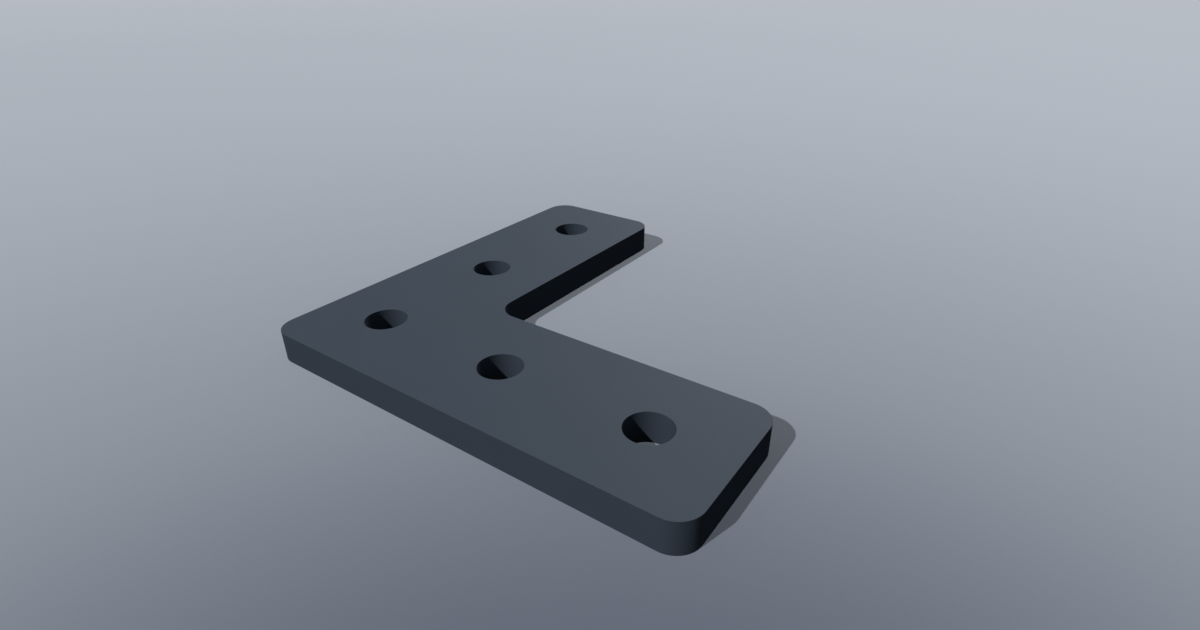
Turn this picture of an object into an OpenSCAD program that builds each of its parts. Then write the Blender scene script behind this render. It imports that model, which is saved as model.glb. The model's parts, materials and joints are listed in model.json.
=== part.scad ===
// L-shaped gusset plate that joins two lengths of slotted profile at a square corner.
// It is one flat piece, cut from plate, with a row of clearance holes along each arm.
// The origin is the corner hole's centre, on the face that lies against the profiles.
// Arm A runs along +X, arm B along +Y, and the thickness goes up along +Z.

/* [Arms] */
// Length of arm A, along X, over the corner
arm_a_len = 60; // [50:1:200]
// Length of arm B, along Y, over the corner
arm_b_len = 60; // [50:1:200]
// Width of each arm, the same as the profile that it covers
arm_w = 20; // [15:1:30]
// Thickness of the plate
plate_t = 4; // [2:0.5:10]

/* [Corners] */
// Radius of the five outer corners, seen from above
corner_r = 3; // [1:0.1:7]
// Radius of the fillet in the inner corner
inner_r = 3; // [1:0.1:12]
// Width of the 45 degree bevel that breaks each edge of both faces
edge_break = 0.02; // [0.02:0.01:0.5]

/* [Holes] */
// Bore of the screw holes
hole_d = 5.5; // [3:0.1:9]
// Distance between neighbouring holes along an arm
hole_pitch = 20; // [12:0.5:50]

/* [Hidden] */
$fn = 96;
// The holes lie on the middle line of each arm
mid = arm_w / 2;
// How far a cutting tool runs past the faces
past = 1;
slate = [0.23, 0.26, 0.30];

// Number of holes that fit along an arm, the corner hole among them
function holes_along(len) = 1 + floor((len - arm_w) / hole_pitch);

// Section across a straight stretch of plate of width w, with all four edges broken
module plate_section(w) {
    polygon([
        [edge_break, 0],
        [w - edge_break, 0],
        [w, edge_break],
        [w, plate_t - edge_break],
        [w - edge_break, plate_t],
        [edge_break, plate_t],
        [0, plate_t - edge_break],
        [0, edge_break]
    ]);
}

// Straight stretch of plate along X, with its low corner at the origin
module run_along_x(len, w) {
    rotate([90, 0, 90])
        linear_extrude(len) plate_section(w);
}

// Straight stretch of plate along Y, with its low corner at the origin
module run_along_y(len, w) {
    translate([0, len, 0])
        rotate([90, 0, 0])
            linear_extrude(len) plate_section(w);
}

// Round outer corner: a disc of the plate with both its rims broken
module round_corner() {
    rotate_extrude()
        polygon([
            [0, 0],
            [corner_r - edge_break, 0],
            [corner_r, edge_break],
            [corner_r, plate_t - edge_break],
            [corner_r - edge_break, plate_t],
            [0, plate_t]
        ]);
}

// Arm along +X: one run to the full width, one to the full length, and the two corners of its end
module arm(len) {
    translate([corner_r - mid, -mid, 0])
        run_along_x(len - 2 * corner_r, arm_w);
    translate([-mid, corner_r - mid, 0])
        run_along_y(arm_w - 2 * corner_r, len);
    for (side = [-1, 1])
        translate([len - mid - corner_r, side * (mid - corner_r), 0])
            round_corner();
}

// Round cutting tool of radius r, which also breaks the edge where it meets each face
module round_tool(r) {
    flare = edge_break + past;
    translate([0, 0, -past])
        cylinder(r = r, h = plate_t + 2 * past);
    translate([0, 0, -past])
        cylinder(r1 = r + flare, r2 = r, h = flare);
    translate([0, 0, plate_t - edge_break])
        cylinder(r1 = r, r2 = r + flare, h = flare);
}

// Fillet between the arms: a square of plate from the corner out, hollowed by the round tool
module inner_fillet() {
    reach = mid + inner_r;
    difference() {
        cube([reach, reach, plate_t]);
        translate([reach, reach, 0])
            round_tool(inner_r);
    }
}

// The plate's outline in the solid, before its holes
module blank() {
    arm(arm_a_len);
    mirror([1, -1, 0])
        arm(arm_b_len);
    translate([corner_r - mid, corner_r - mid, 0])
        round_corner();
    inner_fillet();
}

// Screw holes: the corner hole, then a row along each arm at the pitch
module screw_holes() {
    round_tool(hole_d / 2);
    for (i = [1:1:holes_along(arm_a_len) - 1])
        translate([i * hole_pitch, 0, 0])
            round_tool(hole_d / 2);
    for (i = [1:1:holes_along(arm_b_len) - 1])
        translate([0, i * hole_pitch, 0])
            round_tool(hole_d / 2);
}

module gusset_plate() {
    color(slate)
        difference() {
            blank();
            screw_holes();
        }
}

gusset_plate();
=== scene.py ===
import json
import math

import bpy
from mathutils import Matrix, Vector


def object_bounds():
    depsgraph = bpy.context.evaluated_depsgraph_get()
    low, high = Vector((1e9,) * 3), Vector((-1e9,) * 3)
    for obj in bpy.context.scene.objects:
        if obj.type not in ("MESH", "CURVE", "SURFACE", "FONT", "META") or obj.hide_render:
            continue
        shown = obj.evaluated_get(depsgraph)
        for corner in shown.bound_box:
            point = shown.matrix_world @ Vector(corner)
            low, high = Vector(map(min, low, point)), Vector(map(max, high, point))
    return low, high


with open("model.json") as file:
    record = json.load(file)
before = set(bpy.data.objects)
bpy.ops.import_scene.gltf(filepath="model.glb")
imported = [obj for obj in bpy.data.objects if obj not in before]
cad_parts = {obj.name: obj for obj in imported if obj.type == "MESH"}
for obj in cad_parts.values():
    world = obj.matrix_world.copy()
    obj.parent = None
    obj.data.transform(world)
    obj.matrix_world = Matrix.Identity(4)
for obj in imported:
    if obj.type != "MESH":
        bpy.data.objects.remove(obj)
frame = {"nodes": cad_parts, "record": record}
cad_low, cad_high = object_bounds()

# Gusset plate: one flat L cut from rolled aluminium plate, with five screw holes drilled through it.
# Its edges are broken, then it is etched and anodised slate grey, which leaves it nearly dead matt.
# A clear seal is wiped thinly over the two rolled faces and gives them a soft satin shine.
plate = frame["nodes"]["gusset_plate"]
bores = [mount for mount in frame["record"]["mounts"] if mount["kind"] == "bore"]

# Darkest and palest slate: the dye takes a little unevenly in wide patches, and from pit to pit
slate_deep = (0.0365, 0.0479, 0.0641, 1)
slate_pale = (0.0535, 0.0700, 0.0936, 1)
dye_patch = 0.007
dye_share = 0.2
pit_share = 0.8

# Etched pits, a tenth of a millimetre across
pit_width = 0.00010
pit_depth = 0.000014

# Fine lines from the mill's rolls, the cutter and the drill, with the width and length of each line
roll_line = 0.00022
cutter_line = 0.00030
drill_line = 0.00026
line_length = 0.016
line_depth = 0.000014

# Roughness of the rolled faces and of the cut walls, and the trace of gloss that both have
face_matt = 0.55
face_matt_spread = 0.05
wall_matt = 1.0
gloss = 0.005

# Clear seal of the rolled faces: how much of it there is, and how soft its shine is
seal = 0.207
seal_matt = 0.62

finish = bpy.data.materials.new("slate anodised")
finish.use_nodes = True
finish_tree = finish.node_tree
skin = finish_tree.nodes["Principled BSDF"]
spot = finish_tree.nodes.new("ShaderNodeTexCoord").outputs["Object"]


def combine(operation, first, second):
    """Two values over the plate's surface joined into one; either may be a plain number."""
    node = finish_tree.nodes.new("ShaderNodeMath")
    node.operation = operation
    for socket, value in zip(node.inputs, (first, second)):
        if isinstance(value, (int, float)):
            socket.default_value = value
        else:
            finish_tree.links.new(value, socket)
    return node.outputs["Value"]


def marks(size_x, size_y, size_z, detail=2):
    """Random marks from 0 to 1, with their sizes in metres along X, Y and Z."""
    stretch = finish_tree.nodes.new("ShaderNodeVectorMath")
    stretch.operation = "DIVIDE"
    stretch.inputs[1].default_value = (size_x, size_y, size_z)
    finish_tree.links.new(spot, stretch.inputs[0])
    node = finish_tree.nodes.new("ShaderNodeTexNoise")
    node.inputs["Scale"].default_value = 1
    node.inputs["Detail"].default_value = detail
    finish_tree.links.new(stretch.outputs["Vector"], node.inputs["Vector"])
    return node.outputs["Fac"]


def swap(where, outside, inside):
    """The value inside where the mask is 1, and outside where it is 0."""
    step = combine("SUBTRACT", inside, outside)
    return combine("ADD", combine("MULTIPLY", where, step), outside)


# Walls are the surfaces that stand upright
wall_lean = 0.5
facing = finish_tree.nodes.new("ShaderNodeSeparateXYZ")
geometry = finish_tree.nodes.new("ShaderNodeNewGeometry")
finish_tree.links.new(geometry.outputs["Normal"], facing.inputs["Vector"])
on_wall = combine("LESS_THAN", combine("ABSOLUTE", facing.outputs["Z"], 0), wall_lean)

# Bores are the walls that lie no further from a hole's axis than its radius and a tenth more
bore_reach = 1.1
mm = 0.001
seen_from_above = finish_tree.nodes.new("ShaderNodeVectorMath")
seen_from_above.operation = "MULTIPLY"
seen_from_above.inputs[1].default_value = (1, 1, 0)
finish_tree.links.new(spot, seen_from_above.inputs[0])
in_bore = 0
for bore in bores:
    x, y = bore["pos_m"][:2]
    to_axis = finish_tree.nodes.new("ShaderNodeVectorMath")
    to_axis.operation = "DISTANCE"
    to_axis.inputs[1].default_value = (x, y, 0)
    finish_tree.links.new(seen_from_above.outputs["Vector"], to_axis.inputs[0])
    reach = bore["dims"]["r_mm"] * mm * bore_reach
    in_bore = combine("MAXIMUM", in_bore, combine("LESS_THAN", to_axis.outputs["Value"], reach))

dye = marks(dye_patch, dye_patch, dye_patch, detail=3)
pits = marks(pit_width, pit_width, pit_width)
rolled = marks(line_length, roll_line, line_length)
milled = marks(cutter_line, cutter_line, line_length)
drilled = marks(line_length, line_length, drill_line)
lines = swap(on_wall, rolled, swap(in_bore, milled, drilled))

tone = finish_tree.nodes.new("ShaderNodeMix")
tone.data_type = "RGBA"
tone.inputs["A"].default_value = slate_deep
tone.inputs["B"].default_value = slate_pale
shade = combine("ADD", combine("MULTIPLY", dye, dye_share), combine("MULTIPLY", pits, pit_share))
finish_tree.links.new(shade, tone.inputs["Factor"])
finish_tree.links.new(tone.outputs["Result"], skin.inputs["Base Color"])

satin = combine("ADD", combine("MULTIPLY", dye, face_matt_spread), face_matt - face_matt_spread / 2)
finish_tree.links.new(swap(on_wall, satin, wall_matt), skin.inputs["Roughness"])
skin.inputs["Specular IOR Level"].default_value = gloss
finish_tree.links.new(swap(on_wall, seal, 0), skin.inputs["Coat Weight"])
skin.inputs["Coat Roughness"].default_value = seal_matt

# Relief of the surface: the pits are etched over the lines
relief = skin.inputs["Normal"]
for height, depth in ((pits, pit_depth), (lines, line_depth)):
    bump = finish_tree.nodes.new("ShaderNodeBump")
    bump.inputs["Distance"].default_value = depth
    finish_tree.links.new(height, bump.inputs["Height"])
    finish_tree.links.new(bump.outputs["Normal"], relief)
    relief = bump.inputs["Normal"]
plate.data.materials.clear()
plate.data.materials.append(finish)

# Floor: a wide sheet of grey card with a flocked nap, a hair below the plate's lower face.
# The nap catches the light where it is seen at a low angle, so the sheet turns paler far away,
# where it runs into the studio wall. It throws little light back onto the plate.
floor_half = 12.0
hair = 0.00001
floor_z = cad_low.z - hair
corners = [(x * floor_half, y * floor_half, floor_z) for x, y in ((-1, -1), (1, -1), (1, 1), (-1, 1))]
floor_mesh = bpy.data.meshes.new("floor")
floor_mesh.from_pydata(corners, [], [(0, 1, 2, 3)])
floor = bpy.data.objects.new("floor", floor_mesh)
bpy.context.scene.collection.objects.link(floor)

# Card under the nap: its colour, fully matt and without gloss, and the dull light that it throws back
card_grey = (0.071, 0.087, 0.1235, 1)
card_matt = 1.0
card_gloss = 0.0
card_bounce = (0.02, 0.02, 0.02, 1)

# Nap: its colour and how widely it scatters light, and the share of it that shows from above and
# from a low angle. The one turns into the other between two slants, where 0 is a look straight
# down and 1 a look along the floor.
nap_tint = (0.697, 0.744, 0.793, 1)
nap_spread = 0.7
nap_from_above = 0.452
nap_from_low = 1
slant_from_above = 0.10
slant_from_low = 0.50

# Distance from the corner hole past which the card fades out
card_reach = 0.4

flocked_card = bpy.data.materials.new("flocked card")
flocked_card.use_nodes = True
card_tree = flocked_card.node_tree
card = card_tree.nodes["Principled BSDF"]
card.inputs["Base Color"].default_value = card_grey
card.inputs["Roughness"].default_value = card_matt
card.inputs["Specular IOR Level"].default_value = card_gloss
card.inputs["Sheen Roughness"].default_value = nap_spread
card.inputs["Sheen Tint"].default_value = nap_tint


def looked_at(tree):
    """1 for the rays of the camera, of reflections and of glass, and 0 for those that only light."""
    rays = tree.nodes.new("ShaderNodeLightPath")
    looks = rays.outputs["Is Camera Ray"]
    for kind in ("Is Glossy Ray", "Is Transmission Ray"):
        either = tree.nodes.new("ShaderNodeMath")
        either.operation = "MAXIMUM"
        tree.links.new(looks, either.inputs[0])
        tree.links.new(rays.outputs[kind], either.inputs[1])
        looks = either.outputs["Value"]
    return looks


def mixed(share, first, second):
    """Two of the floor's surfaces in one: the second by its share, and the first by what is left."""
    node = card_tree.nodes.new("ShaderNodeMixShader")
    for output, socket in zip((share, first, second), node.inputs):
        card_tree.links.new(output, socket)
    return node.outputs["Shader"]


# The nap stands up, so it shows least from above and in full from a low angle
slant = card_tree.nodes.new("ShaderNodeLayerWeight")
nap = card_tree.nodes.new("ShaderNodeMapRange")
nap.interpolation_type = "SMOOTHSTEP"
nap.inputs["From Min"].default_value = slant_from_above
nap.inputs["From Max"].default_value = slant_from_low
nap.inputs["To Min"].default_value = nap_from_above
nap.inputs["To Max"].default_value = nap_from_low
card_tree.links.new(slant.outputs["Facing"], nap.inputs["Value"])
card_tree.links.new(nap.outputs["Result"], card.inputs["Sheen Weight"])

bounce = card_tree.nodes.new("ShaderNodeBsdfDiffuse")
bounce.inputs["Color"].default_value = card_bounce
card_or_bounce = mixed(looked_at(card_tree), bounce.outputs["BSDF"], card.outputs["BSDF"])

# Past its reach the card fades out with distance, so it runs into the studio wall with no edge
place = card_tree.nodes.new("ShaderNodeTexCoord")
away = card_tree.nodes.new("ShaderNodeVectorMath")
away.operation = "LENGTH"
card_tree.links.new(place.outputs["Object"], away.inputs[0])
card_left = card_tree.nodes.new("ShaderNodeMath")
card_left.operation = "DIVIDE"
card_left.use_clamp = True
card_left.inputs[0].default_value = card_reach
card_tree.links.new(away.outputs["Value"], card_left.inputs[1])
nothing = card_tree.nodes.new("ShaderNodeBsdfTransparent")
card_or_wall = mixed(card_left.outputs["Value"], nothing.outputs["BSDF"], card_or_bounce)
card_tree.links.new(card_or_wall, card_tree.nodes["Material Output"].inputs["Surface"])
floor_mesh.materials.append(flocked_card)

# Lights: a small lamp over the viewer's left shoulder, which throws the crisp shadow, and a broad
# panel behind the plate, which fills that shadow without one of its own and lays a soft shine
# along the top face. With the studio's fill they light the floor to about full level.
lamp_azimuth = -15.309
lamp_elevation = 40.255
lamp_level = 0.826
lamp_spread = 1
panel_azimuth = 195.4
panel_elevation = 30
panel_level = 0.632
panel_spread = 20


def toward(azimuth, elevation):
    """The direction so many degrees round to the right of the plate's front, and so many up."""
    turn = math.radians(azimuth)
    rise = math.radians(elevation)
    return Vector((
        math.sin(turn) * math.cos(rise),
        -math.cos(turn) * math.cos(rise),
        math.sin(rise),
    ))


def set_up(name, data, direction):
    """A light or a camera put into the scene, looking from that direction towards the plate."""
    stand = bpy.data.objects.new(name, data)
    stand.rotation_euler = direction.to_track_quat("Z", "Y").to_euler()
    bpy.context.scene.collection.objects.link(stand)
    return stand


# A white card that faces a light of level 1 comes out fully white
for name, azimuth, elevation, level, spread, casts_shadow in (
    ("lamp", lamp_azimuth, lamp_elevation, lamp_level, lamp_spread, True),
    ("panel", panel_azimuth, panel_elevation, panel_level, panel_spread, False),
):
    light = bpy.data.lights.new(name, "SUN")
    light.energy = level * math.pi
    light.angle = math.radians(spread)
    light.use_shadow = casts_shadow
    set_up(name, light, toward(azimuth, elevation))

# Surroundings: a studio with plain pale grey walls, far from the plate. The camera and reflections
# see the walls as pale as they are, and only a weak fill from them reaches the plate's shaded walls.
studio_wall = (0.48, 0.515, 0.567, 1)
studio_fill = (0.134, 0.134, 0.145, 1)
studio = bpy.data.worlds.new("studio")
studio.use_nodes = True
studio_tree = studio.node_tree
wall_or_fill = studio_tree.nodes.new("ShaderNodeMix")
wall_or_fill.data_type = "RGBA"
wall_or_fill.inputs["A"].default_value = studio_fill
wall_or_fill.inputs["B"].default_value = studio_wall
studio_tree.links.new(looked_at(studio_tree), wall_or_fill.inputs["Factor"])
studio_tree.links.new(wall_or_fill.outputs["Result"], studio_tree.nodes["Background"].inputs["Color"])
bpy.context.scene.world = studio

# Camera: held level, 28 degrees above the plate and 35 degrees round to the right of its front,
# close enough for a strong perspective, and aimed at the middle of the plate.
view_azimuth = 35
view_elevation = 28
view_distance = 0.09323

# The angle seen from the bottom to the top of the picture, which sets the focal length. Film and
# focal length are in millimetres, and the nearest and furthest that is seen in metres.
view_height = math.radians(50)
picture_w = 1200
picture_h = 630
film_w = 36
nearest_seen = 0.001
furthest_seen = 50
lens = bpy.data.cameras.new("camera")
lens.sensor_width = film_w
lens.lens = film_w * picture_h / picture_w / 2 / math.tan(view_height / 2)
lens.clip_start = nearest_seen
lens.clip_end = furthest_seen
view_from = toward(view_azimuth, view_elevation)
camera = set_up("camera", lens, view_from)
camera.location = (cad_low + cad_high) / 2 + view_from * view_distance
bpy.context.scene.camera = camera
bpy.context.scene.view_settings.view_transform = "Standard"
